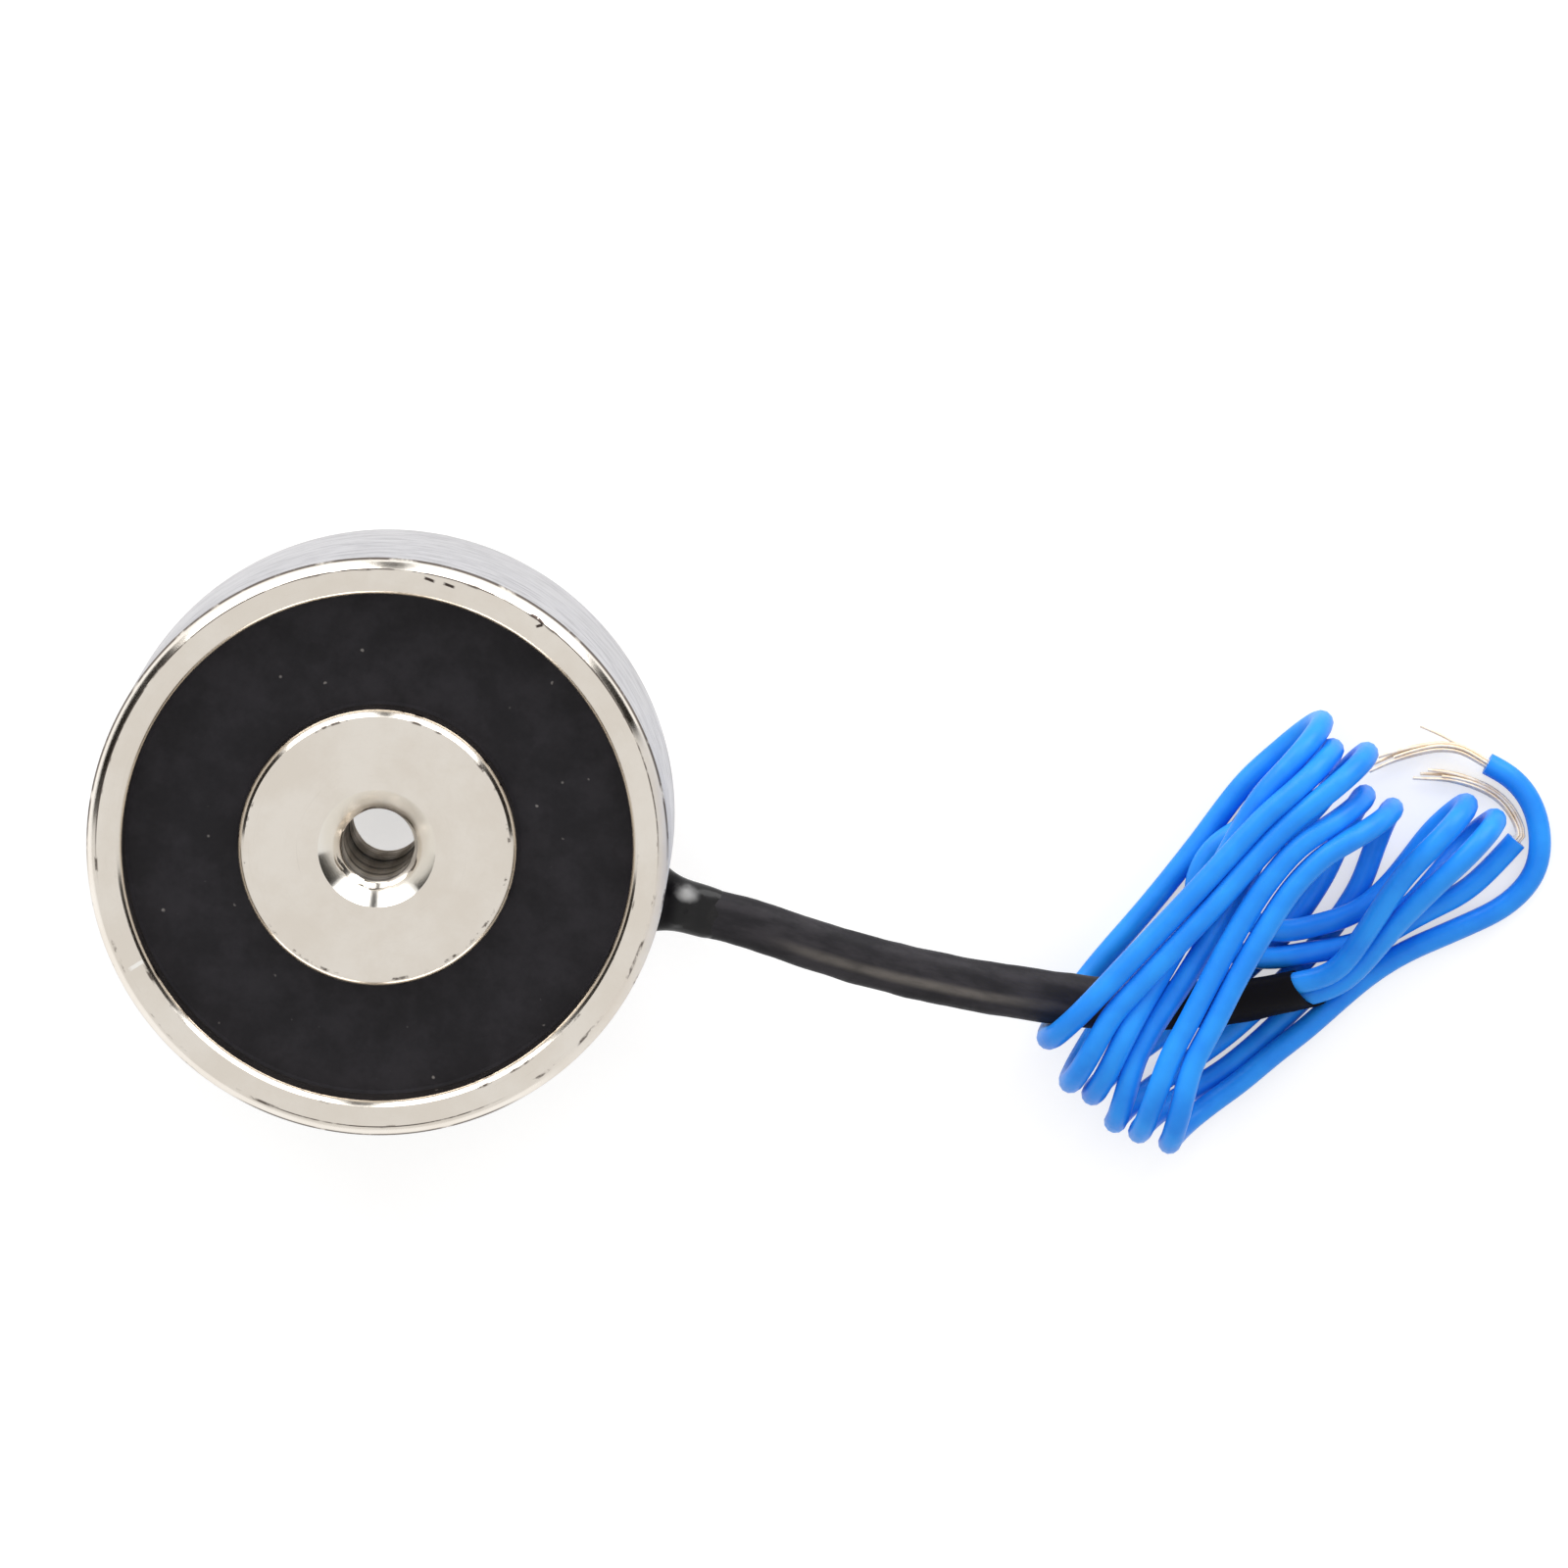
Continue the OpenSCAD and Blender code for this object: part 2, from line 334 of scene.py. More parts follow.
def steel_wear_and_shade_line(s, xyz, radius, angle, at_top, tone):
    """Plating worn brown along the edges of the chamfers: thin lines with wider patches, and a thin
    painted shade line along the opposite outer edge.
    """
    outward = s.total((xyz[0], math.cos(WORN_TURN)), (xyz[1], math.sin(WORN_TURN)))
    opposite = s.band(outward, 2 * MM, -4 * MM)
    wide = 0.0
    for edge, where in (
        (POT_R - EDGE_CHAMFER, 1.0), (POT_R, 1.0),
        (GROOVE_R + RIM_CHAMFER, opposite), (GROOVE_R, opposite),
        (POLE_R, 1.0), (POLE_R - POLE_CHAMFER, 1.0),
    ):
        near = s.band(s.off(radius, edge), 0.15 * MM, 0.04 * MM)
        wide = s.either(wide, s.both(near, where))
    face_line = s.band(s.off(radius, POT_R - EDGE_CHAMFER), 0.07 * MM, 0.02 * MM)
    wall_line = s.band(s.off(radius, POT_R), 0.17 * MM, 0.08 * MM)
    # Thin lines: wear on this side, painted shade along the opposite outer edge
    wear_and_shade_lines = s.either(s.band(outward, -3 * MM, 3 * MM), s.band(outward, -17 * MM, -18.5 * MM))
    thin = s.both(s.either(face_line, wall_line), wear_and_shade_lines)
    wear_place = s.node("CombineXYZ", {0: s.math("MULTIPLY", angle, 0.011), 1: radius}).outputs[0]
    wear = s.noise(wear_place, 700, 4, 0.65)
    worn_and_shaded = s.either(s.both(wide, s.band(wear, 0.54, 0.66)), s.both(thin, s.band(wear, 0.33, 0.48)))
    return s.mix(s.both(worn_and_shaded, at_top, 0.9), tone, (0.08, 0.06, 0.05, 1))


def steel_marks(s, xyz, grain, at_top, tone):
    """Small nicks in the plating of the holding face."""
    for x, y, turn, length, width, bright in MARKS:
        cos, sin = math.cos(math.radians(turn)), math.sin(math.radians(turn))
        dx = s.math("SUBTRACT", xyz[0], x * MM)
        dy = s.math("SUBTRACT", xyz[1], y * MM)
        along = s.math("ABSOLUTE", s.total((dx, cos), (dy, sin)))
        across = s.math("ABSOLUTE", s.total((dy, cos), (dx, -sin)))
        reach = s.either(s.both(along, 2 / (length * MM)), s.both(across, 2 / (width * MM)))
        mark = s.both(s.band(s.total((reach, 1.0), (grain, 0.5)), 1.5, 0.9), at_top)
        tone = s.mix(mark, tone, BRIGHT_MARK if bright else DARK_MARK)
    return tone


def plated_steel():
    s = Shader("plated_steel")
    place = s.place()
    xyz = s.apart(place)
    radius = s.math("SQRT", s.math("ADD", s.math("POWER", xyz[0], 2.0), s.math("POWER", xyz[1], 2.0)))
    angle = s.math("ARCTAN2", xyz[1], xyz[0])
    at_top = s.band(xyz[2], POT_H - 1.1 * MM, POT_H - 0.9 * MM)
    turned = s.node("CombineXYZ", {0: radius, 1: xyz[2], 2: s.math("MULTIPLY", xyz[0], 0.06)}).outputs[0]
    lines = s.noise(turned, 9000, 4, 0.7)
    cloud = s.noise(place, 210, 5, 0.62)
    grain = s.noise(place, 5200, 2, 0.5)
    tone = s.mix(s.band(cloud, 0.35, 0.68), (0.80, 0.745, 0.675, 1), (0.85, 0.805, 0.745, 1))
    tone = s.mix(s.band(lines, 0.55, 0.8, 0, 0.22), tone, (0.62, 0.57, 0.52, 1))
    # Bright countersink
    countersink = s.both(s.band(radius, 4.1 * MM, 4.0 * MM), at_top)
    tone = s.mix(countersink, tone, (0.92, 0.895, 0.85, 1))
    tone, in_bore = steel_bore(s, xyz, radius, tone)
    tone, side = steel_side(s, xyz, radius, tone)
    tone = steel_wear_and_shade_line(s, xyz, radius, angle, at_top, tone)
    tone = steel_marks(s, xyz, grain, at_top, tone)
    # Coarser cut on the chamfers, and a dull stretch where the lead rubs
    chamfers = s.either(
        s.band(s.off(radius, POT_R - EDGE_CHAMFER / 2), 0.36 * MM, 0.34 * MM),
        s.band(s.off(radius, GROOVE_R + RIM_CHAMFER / 2), 0.24 * MM, 0.22 * MM),
    )
    cut = s.both(s.noise(turned, 5000, 3, 0.6), at_top, chamfers)
    rubbed = s.both(
        s.band(s.math("ABSOLUTE", angle), 0.8, 0.6),
        s.band(radius, POT_R - 0.75 * MM, POT_R - 0.65 * MM),
    )
    satin = s.band(cloud, 0.3, 0.75, 0.13, 0.19)
    return s.finish(
        base_color=tone, metallic=1.0, specular_tint=(0.74, 0.735, 0.745, 1),
        roughness=s.either(satin, s.both(rubbed, 0.55), s.both(side, 0.3), s.both(in_bore, 0.68)),
        normal=s.bump(s.total((lines, 0.7), (grain, 0.5), (cut, 4.0)), 0.003 * MM, 0.4),
    )


# Other materials

# A painted highlight on the sealing bead's top drop: its middle, and how it is stretched
PAINTED_GLINT_MIDDLE = Vector((21.5, 1.05, 9.4)) * MM
PAINTED_GLINT_SCALE = (1, 1.5, 0.3)


def cast_resin():
    s = Shader("resin")
    place = s.place()
    cloud = s.noise(place, 320, 4, 0.6)
    fine = s.noise(place, 2400, 3, 0.6)
    dust = s.node("TexVoronoi", {"Vector": place, "Scale": 700, "Randomness": 1.0}).outputs["Distance"]
    some = s.noise(place, 900, 1, 0.5)
    specks = s.both(s.band(dust, 0.12, 0.05), s.band(some, 0.55, 0.62))
    tone = s.mix(s.band(cloud, 0.35, 0.7), (0.013, 0.0122, 0.015, 1), (0.022, 0.0205, 0.025, 1))
    tone = s.mix(s.both(specks, 0.5), tone, (0.35, 0.33, 0.32, 1))
    return s.finish(
        base_color=tone, specular_ior_level=0.16, roughness=s.band(fine, 0.3, 0.7, 0.42, 0.6),
        normal=s.bump(s.total((cloud, 1.0), (fine, 0.25)), 0.05 * MM, 0.5),
    )


def seal_resin():
    s = Shader("seal_resin")
    place = s.place()
    cloud = s.noise(place, 500, 3, 0.6)
    tone = s.mix(s.band(cloud, 0.4, 0.7), (0.004, 0.004, 0.005, 1), (0.012, 0.011, 0.012, 1))
    # Painted highlight: a pale patch on the bead's top drop
    offset = tuple(-v * k for v, k in zip(PAINTED_GLINT_MIDDLE, PAINTED_GLINT_SCALE))
    glint_place = s.node("Mapping", {"Vector": place, "Location": offset, "Scale": PAINTED_GLINT_SCALE}).outputs[0]
    distance = s.node("VectorMath", {0: glint_place}, operation="LENGTH").outputs["Value"]
    painted_glint = s.band(s.total((distance, 1.0), (cloud, 0.9 * MM)), 1.5 * MM, 0.55 * MM)
    tone = s.mix(s.both(painted_glint, 0.75), tone, (0.55, 0.55, 0.55, 1))
    reach = s.apart(place)[0]
    return s.finish(
        base_color=tone, specular_ior_level=s.band(reach, POT_R + 0.4 * MM, POT_R + 1.5 * MM, 0.06, 0.3),
        roughness=s.band(cloud, 0.3, 0.7, 0.14, 0.3),
        normal=s.bump(cloud, 0.12 * MM, 0.6),
    )


def shrink_sleeve():
    s = Shader("heat_shrink")
    place = s.place()
    xyz = s.apart(place)
    drawn = s.node("Mapping", {"Vector": place, "Scale": (0.35, 1.2, 1.2)}).outputs[0]
    creases = s.noise(drawn, 700, 4, 0.6)
    fine = s.noise(place, 3200, 2, 0.5)
    tone = s.mix(s.band(creases, 0.35, 0.7), (0.022, 0.021, 0.024, 1), (0.042, 0.039, 0.044, 1))
    # A scuffed streak along the top, partly a painted highlight, on a curve that follows the sleeve's
    # route
    bow = s.math("MULTIPLY", s.math("POWER", s.math("SUBTRACT", xyz[0], 37 * MM), 2.0), 5.5)
    across = s.off(s.math("SUBTRACT", xyz[1], bow), -1.05 * MM)
    stretch = s.both(s.band(xyz[0], 27 * MM, 33 * MM), s.band(xyz[0], 51 * MM, 43 * MM))
    broken = s.band(creases, 0.2, 0.7, 0.4, 1.0)
    scuff_and_highlight = s.both(s.band(across, 0.55 * MM, 0.05 * MM), stretch, broken)
    tone = s.mix(scuff_and_highlight, tone, (0.135, 0.122, 0.112, 1))
    # Painted shade: blacker towards the mouth, where the hank shades it
    mouth_shade = s.band(xyz[0], 50 * MM, 58 * MM)
    tone = s.mix(mouth_shade, tone, (0.008, 0.0075, 0.009, 1))
    return s.finish(
        base_color=tone, specular_ior_level=s.band(mouth_shade, 0, 1, 0.1, 0.03),
        roughness=s.band(fine, 0.3, 0.7, 0.36, 0.52),
        normal=s.bump(s.total((creases, 1.0), (fine, 0.2)), 0.06 * MM, 0.5),
    )


def blue_insulation():
    s = Shader("blue_insulation")
    place = s.place()
    cloud = s.noise(place, 240, 3, 0.55)
    fine = s.noise(place, 2600, 3, 0.6)
    tone = s.mix(s.band(cloud, 0.3, 0.7), (0.012, 0.242, 0.87, 1), (0.02, 0.32, 0.97, 1))
    tone = s.mix(s.band(fine, 0.6, 0.8, 0, 0.18), tone, (0.05, 0.40, 1.0, 1))
    return s.finish(
        base_color=tone, specular_ior_level=0.27, roughness=s.band(fine, 0.3, 0.7, 0.32, 0.44),
        normal=s.bump(s.total((cloud, 1.0), (fine, 0.2)), 0.05 * MM, 0.45),
    )


def tinned_strands():
    s = Shader("tinned_strands")
    place = s.place()
    cloud = s.noise(place, 900, 3, 0.6)
    tone = s.mix(s.band(cloud, 0.35, 0.65), (0.93, 0.75, 0.54, 1), (0.99, 0.89, 0.74, 1))
    return s.finish(
        base_color=tone, metallic=0.3,
        roughness=s.band(cloud, 0.3, 0.7, 0.3, 0.45),
        normal=s.bump(cloud, 0.01 * MM, 0.4),
    )


def moulded(name, dark, light, roughness):
    """Hidden pieces inside the pot: a plain mould or film with slight clouding."""
    s = Shader(name)
    place = s.place()
    cloud = s.noise(place, 420, 4, 0.6)
    return s.finish(
        base_color=s.mix(s.band(cloud, 0.35, 0.7), dark, light),
        roughness=s.band(cloud, 0.3, 0.7, roughness, roughness + 0.12),
        normal=s.bump(cloud, 0.03 * MM, 0.4),
    )


def enamelled_copper():
    s = Shader("enamelled_copper")
    place = s.place()
    turns = s.node("TexWave", {"Vector": place, "Scale": 800.0, "Distortion": 0.4}, bands_direction="Z")
    tone = s.mix(turns.outputs["Fac"], (0.20, 0.06, 0.02, 1), (0.58, 0.25, 0.09, 1))
    return s.finish(
        base_color=tone, metallic=0.9, roughness=s.band(turns.outputs["Fac"], 0, 1, 0.4, 0.28),
        normal=s.bump(turns.outputs["Fac"], 0.1 * MM, 0.8),
    )


steel = plated_steel()
resin = cast_resin()
seal_black = seal_resin()
sleeve_black = shrink_sleeve()
blue = blue_insulation()
tinned = tinned_strands()
nylon = moulded("nylon", (0.70, 0.66, 0.58, 1), (0.80, 0.77, 0.70, 1), 0.5)
tape = moulded("tape", (0.60, 0.40, 0.06, 1), (0.72, 0.50, 0.10, 1), 0.3)
copper = enamelled_copper()


# Leads: routes of the free stretches, then the turns of the hank

WIRE_R = 0.8 * MM
SLEEVE_ROUTE = metres([
    (24, 0, 8), (26, 0, 8), (29, -0.2, 7.8), (33, -0.5, 7.2), (37, -0.6, 6.6), (41, -0.5, 6.1),
    (45, -0.2, 5.7), (49, 0.2, 5.2), (53, 0.8, 4.6), (57, 1.7, 3.8), (61, 3, 3.3), (65, 5, 3.3),
])
FEED_A = metres([
    (64.75, 5.5, 3.9), (65.55, 5.9, 3.9), (66.5, 6.6, 4.3), (67.1, 7.5, 4.7), (68.1, 10.6, 5.7),
    (69.4, 14.8, 6.7), (71, 17.9, 7.3), (72.1, 19.9, 6.4), (72.6, 20.7, 4.1), (72.1, 19.9, 1.8),
    (71, 18, 0.85), (69.9, 15.3, 0.85), (68.7, 12.9, 1.6), (67, 10.9, 2.5), (64.8, 9.5, 2.55),
    (63.1, 8.6, 2.55),
])
FEED_B = metres([
    (65.25, 4.5, 2.7), (66.05, 4.9, 2.7), (67.3, 5.8, 2.9), (68.1, 7, 3.3), (69.9, 11.2, 5.1),
    (71.6, 14.6, 6.5), (73.2, 17.4, 7.3), (74.3, 19.4, 6.4), (74.8, 20.2, 4.1), (74.3, 19.4, 1.8),
    (73.3, 17.5, 0.95), (72, 14.8, 1.7), (70.4, 11.9, 2.6), (68.2, 9.2, 2.6), (66.2, 8.1, 2.55),
    (64.3, 7.3, 2.55), (62.7, 6.5, 2.55),
])
TAIL_A = metres([
    (60.4, -5.2, 2.4), (62.5, -2.8, 1.95), (64.2, -0.3, 1.95), (66.1, 2.2, 1.7), (67.5, 4.3, 1.4),
    (69.3, 6.8, 0.85), (71.3, 9, 0.85), (74.5, 11.6, 0.85), (77.4, 14.2, 0.85), (78.7, 16.9, 0.85),
    (78.4, 19.3, 0.85), (77.2, 21.5, 0.85), (75.4, 22.9, 0.85), (73.4, 23.4, 0.85),
])
TAIL_B = metres([
    (61.1, -2.6, 0.85), (63.1, 0.2, 0.85), (64.9, 3.2, 0.85), (67, 6.7, 0.85), (69.6, 9.8, 0.85),
    (72, 12.2, 0.85), (74.3, 14.3, 0.85), (76, 17.1, 0.85), (76.8, 18.7, 0.85),
])
BARE_A = metres([
    (73.4, 23.4, 0.85), (71.4, 23.9, 0.85), (70, 23.7, 0.5), (68.6, 23.1, 0.5), (66.8, 22, 0.5),
])
BARE_B = metres([
    (76.8, 18.7, 0.85), (77, 19.1, 0.85), (76.5, 20, 0.5), (75.4, 21, 0.5), (74, 21.6, 0.5),
    (71.5, 21.8, 0.5), (68.6, 21.3, 0.5),
])

# The hank has its own frame: millimetres along its strands and across them, from its middle
HANK_MIDDLE = Vector((58.5, 7.8, 0)) * MM
HANK_ANGLE = math.radians(69)
hank_along = Vector((math.cos(HANK_ANGLE), math.sin(HANK_ANGLE), 0))
hank_across = Vector((math.sin(HANK_ANGLE), -math.cos(HANK_ANGLE), 0))
# Ends of the six loops, upper then lower, by strand: along, across
UPPER_TIPS = [(14.9, -1.6), (16.1, 0.5), (15.9, -3.2), (11.9, -3.1), (13.5, 2.2), (13.9, 4.3)]
LOWER_TIPS = [(-13.4, -5.6), (-15.0, -2.5), (-14.8, -0.7), (-15.5, 1.8), (-15.0, 3.5), (-14.3, 5.6)]
# Strands on top between those ends: along, across, height
FRONT = [
    [(8.7, -3.05, 11), (5, -3.45, 11), (1, -3.88, 11), (-4, -4.5, 11), (-7.3, -4.9, 11)],
    [
        (9.9, -1.25, 11), (6, -1.8, 11), (2, -2.15, 11), (-2, -2.62, 10.95), (-6, -3.1, 10.8),
        (-9, -3.4, 10.7),
    ],
    [(9.6, -4, 9.8), (6, -3.6, 9.35), (1, -2.9, 9.35), (-5, -2.2, 9.35), (-9, -1.85, 10.4)],
    [(7.5, -2, 9.35), (3, -1.3, 9.35), (-4, -0.65, 9.35), (-8, -0.45, 9.35), (-10.5, -0.15, 9.5)],
    [(8.6, 0.1, 11), (5, -0.2, 11), (1, 0.1, 11), (-2.8, 0.65, 11), (-6.5, 1.25, 11), (-9, 1.6, 11)],
    [(9.1, 1.95, 11), (6, 1.45, 11), (2, 1.65, 11), (-1.8, 2.1, 11), (-5.5, 2.75, 11), (-8.6, 3.2, 11)],
]
# Strands on the floor, from a lower end to the next upper end: along, across, height
BACK = [
    [(-7, -5.3, 0.85), (-2, -4.9, 0.85), (3, -4.7, 0.85), (9, -4.6, 0.85)],
    [(-8, -2.8, 0.85), (-3, -2.9, 0.85), (2, -2.9, 0.85), (7.8, -3, 0.85)],
    [(-8.5, 1.4, 0.85), (-3, 3.0, 0.85), (2, 3.9, 0.85), (7.2, 3.7, 0.85)],
    [(-9.5, 3.9, 0.85), (-6, 5.0, 0.85), (-1, 5.9, 0.85), (4, 6.4, 0.85), (8, 6.2, 0.85)],
]
# Each lead inside the hank, from its side to its first upper end: along, across, height
ENTRY_A = [
    (1.6, 3, 2.55), (1.3, 1.75, 2.55), (1.5, 0.5, 2.55), (2.15, -0.6, 2.55), (3.25, -1.35, 2.55),
    (4.5, -1.62, 2.55), (7, -0.85, 2.55), (9.5, 0.15, 2.55),
]
ENTRY_B = [
    (-1.15, 1.9, 2.55), (-0.95, -0.95, 2.55), (0.85, -3.2, 2.55), (3.6, -3.9, 2.55),
    (6.5, -2.92, 2.55), (8.8, -1.66, 2.55),
]


def from_hank(along, across, z):
    return HANK_MIDDLE + (hank_along * along + hank_across * across + Vector((0, 0, z))) * MM


def to_hank(point):
    offset = (point - HANK_MIDDLE) / MM
    return (offset.dot(hank_along), offset.dot(hank_across), offset.z)


def fold(tip, before, after):
    """A half turn through a loop's end, between the strand points before and after it."""
    middle = (before[2] + after[2]) / 2
    radius = abs(before[2] - after[2]) / 2
    halves = []
    for near in (before, after):
        away = Vector((near[0] - tip[0], near[1] - tip[1])).normalized()
        half = []
        for k in range(4):
            turn = math.radians(k * 30)
            reach = radius * (1 - math.sin(turn))
            lift = (near[2] - middle) * math.cos(turn)
            half.append((tip[0] + away.x * reach, tip[1] + away.y * reach, middle + lift))
        halves.append(half)
    return halves[0] + halves[1][-2::-1]


def hank_turns(strands, entry, tail):
    """Points of one lead from inside the hank, through its three turns, to its end."""
    ways_out = [BACK[j] for j in strands[:-1]] + [[to_hank(p) for p in tail]]
    points = list(entry)
    for j, way_out in zip(strands, ways_out):
        points += fold(UPPER_TIPS[j], points[-1], FRONT[j][0]) + FRONT[j]
        points += fold(LOWER_TIPS[j], FRONT[j][-1], way_out[0]) + way_out
    return [from_hank(*p) for p in points]


def looped(route):
    """A feed route whose loop, points 6 to 10, is a true half turn."""
    turn = fold(route[8], route[6], route[10])
    return route[:6] + [Vector(p) for p in turn] + route[11:]


def relaxed(path, times=8):
    """The same path with its bends evened out, kept from sinking into the floor."""
    for _ in range(times):
        middles = [(a + 2 * b + c) / 4 for a, b, c in zip(path, path[1:], path[2:])]
        path = [path[0]] + middles + [path[-1]]
    return [Vector((p.x, p.y, max(p.z, WIRE_R))) for p in path]


# The sleeve and the two leads in it turn together towards the mouth

MOUTH_TWIST = math.radians(50)
sleeve_path = smooth_path([Vector((POT_R + 2 * MM, 0, EXIT_Z))] + SLEEVE_ROUTE, 0.6 * MM)


def sleeve_frames():
    """Place, direction, left and up at each point of the sleeve's path, and its share of the length."""
    last = len(sleeve_path) - 1
    for i, (p, way) in enumerate(zip(sleeve_path, headings(sleeve_path))):
        share = i / last
        late = max(0.0, (share - 0.6) / 0.4)
        twist = Matrix.Rotation(MOUTH_TWIST * late ** 2 * (3 - 2 * late), 3, way)
        left = Vector((0, 0, 1)).cross(way).normalized()
        yield p, way, twist @ left, twist @ way.cross(left), share


def in_sleeve(side):
    """Points of a lead inside the sleeve, side by side with the other one."""
    start = Vector((POT_R + 0.5 * MM, side * WIRE_R, EXIT_Z))
    sparse = list(sleeve_frames())[:-5:6]
    return [start] + [p + left * side * WIRE_R for p, _, left, _, _ in sparse]


WIRE_STEP = 0.45 * MM
way_a = in_sleeve(1) + looped(FEED_A) + hank_turns([1, 3, 5], ENTRY_A, TAIL_A[1:])
way_b = in_sleeve(-1) + looped(FEED_B) + hank_turns([0, 2, 4], ENTRY_B, TAIL_B)
lead_a = relaxed(smooth_path(way_a, WIRE_STEP))
lead_b = relaxed(smooth_path(way_b, WIRE_STEP))
wire_a = wire_piece("lead_wire_a", [lead_a], WIRE_R, blue)
wire_b = wire_piece("lead_wire_b", [lead_b], WIRE_R, blue)


# Bare ends: fine strands that fan out from each cut end

STRAND_R = 0.11 * MM
STRAND_COUNT = 7


def fan(route, spread, stray=None):
    """Paths of fine strands along a route that spread apart towards its end."""
    paths = []
    line = smooth_path(route, 0.5 * MM)
    ways = headings(line)
    for k in range(STRAND_COUNT):
        turn = 2 * math.pi * k / STRAND_COUNT
        reach = 1 - 0.03 * (k * 3 % STRAND_COUNT)
        path = []
        for i, (p, way) in enumerate(zip(line, ways)):
            share = i / (len(line) - 1)
            if share > reach:
                break
            side = Vector((0, 0, 1)).cross(way).normalized()
            out = (0.25 + spread * share ** 1.5 * (0.5 + 0.5 * math.sin(k * 2.4))) * MM
            wave = 0.07 * MM * math.sin(share * 5 + k * 1.7)
            lifted = p.z + math.sin(turn) * min(out, 0.3 * MM)
            flat = p + side * (math.cos(turn) * out + wave * share)
            path.append(Vector((flat.x, flat.y, max(lifted, STRAND_R + 0.02 * MM))))
        paths.append(path)
    if stray:
        paths.append(smooth_path(stray, 0.5 * MM))
    return paths


REST_A = metres([(65.4, 20.9, 0.5)])
STRAY_A = metres([(72.8, 23.7, 0.9), (71, 24.2, 0.8), (69.6, 24.5, 0.6), (68.2, 24.7, 0.4)])
strands_a = wire_piece("bare_strands_a", fan(BARE_A + REST_A, 0.25, STRAY_A), STRAND_R, tinned, 2)
strands_b = wire_piece("bare_strands_b", fan(BARE_B, 0.2), STRAND_R, tinned, 2)


# Sleeve: a flattened shrink tube, open at its cut mouth

SLEEVE_W = 1.85 * MM
SLEEVE_T = 1.15 * MM
SLEEVE_WALL = 0.22 * MM
SLEEVE_SIDES = 48
MOUTH_SLANT = 0.7 * MM
MOUTH_LIP = 0.8 * MM


def build_sleeve(bm):
    shells = []
    for inset in (0.0, SLEEVE_WALL):
        rings = []
        for p, way, left, up, share in sleeve_frames():
            at_mouth = max(0.0, (share - 0.93) / 0.07) ** 2
            wide = SLEEVE_W - 0.12 * MM * max(0.0, 1 - 2 * share)
            ring = []
            for k in range(SLEEVE_SIDES):
                turn = 2 * math.pi * k / SLEEVE_SIDES
                x = math.copysign(abs(math.cos(turn)) ** 0.86, math.cos(turn)) * (wide - inset)
                y = math.sin(turn) * (SLEEVE_T - inset)
                wrinkle = noise.noise(Vector((share * 30, math.cos(turn) * 1.3, math.sin(turn) * 1.3)))
                swell = 1 + 0.035 * wrinkle
                lip = -math.cos(turn)
                reach = MOUTH_SLANT * lip + MOUTH_LIP * max(0.0, lip) ** 5
                ring.append(bm.verts.new(p + (left * x + up * y) * swell + way * reach * at_mouth))
            rings.append(ring)
        shells.append(rings)
    outer, inner = shells
    skin(bm, outer + inner[::-1], loop=True)


sleeve = mesh_piece("shrink_sleeve", build_sleeve, sleeve_black, math.radians(50))


# Sealing bead: black resin drawn out from the wall on to the sleeve, with three glossy drops on it

SEAL_SIDES = 64
SEAL_IN = 1.2 * MM
SEAL_OUT = 3.9 * MM
SEAL_BASE = 2.45 * MM
SEAL_NECK = SLEEVE_W - 0.12 * MM
# Drops: distance from the wall, turn round the bead, size and height
DROPS = [(1.5, 56, 0.75, 0.34), (2.1, 96, 0.8, 0.2), (1.3, 124, 0.5, 0.16)]


def build_seal(bm):
    rings = []
    steps = 40
    for i in range(steps + 1):
        x = (SEAL_IN + SEAL_OUT) * i / steps - SEAL_IN
        out = min(1.0, max(0.0, (x + 0.5 * MM) / (SEAL_OUT + 0.5 * MM)))
        flare = (1 - out) ** 4
        thin = max(0.0, (x - SEAL_OUT + 0.8 * MM) / (0.8 * MM))
        ring = []
        for k in range(SEAL_SIDES):
            turn = 2 * math.pi * k / SEAL_SIDES
            lump = noise.noise(Vector((x / MM * 0.6, math.cos(turn) * 1.2, math.sin(turn) * 1.2 + 7)))
            ragged = 0.5 * MM * noise.noise(Vector((3.7, math.cos(turn) * 2.1, math.sin(turn) * 2.1)))
            skin_t = (0.09 * MM + 0.06 * MM * lump * out) * (1 - thin ** 2)
            wide = SEAL_NECK + skin_t + (SEAL_BASE - SEAL_NECK) * flare
            high = SLEEVE_T + skin_t + (SEAL_BASE - SLEEVE_T) * flare
            for place, around, size, height in DROPS:
                near = Vector(((x / MM - place) / size, math.sin(turn - math.radians(around)) * 2 / size))
                if math.cos(turn - math.radians(around)) > 0:
                    drop = height * MM * math.exp(-near.length_squared * 1.6)
                    wide += drop
                    high += drop
            ring.append(bm.verts.new((
                POT_R + x + ragged * out,
                math.cos(turn) * wide,
                EXIT_Z + math.sin(turn) * high,
            )))
        rings.append(ring)
    skin(bm, rings)
    bm.faces.new(rings[0])
    bm.faces.new(rings[-1])


seal = mesh_piece("exit_bead", build_seal, seal_black, math.radians(60))


# Pot: one turned profile, with a thread in the bore

POT_SIDES = 240
THREAD_RINGS = 10
BEVEL = 0.06 * MM


def bevelled(corners):
    """A profile whose corners are cut by a very small bevel."""
    points = []
    count = len(corners)
    for i, corner in enumerate(corners):
        here = Vector(corner)
        for other in (corners[i - 1], corners[(i + 1) % count]):
            points.append(here + (Vector(other) - here).normalized() * BEVEL)
    return points


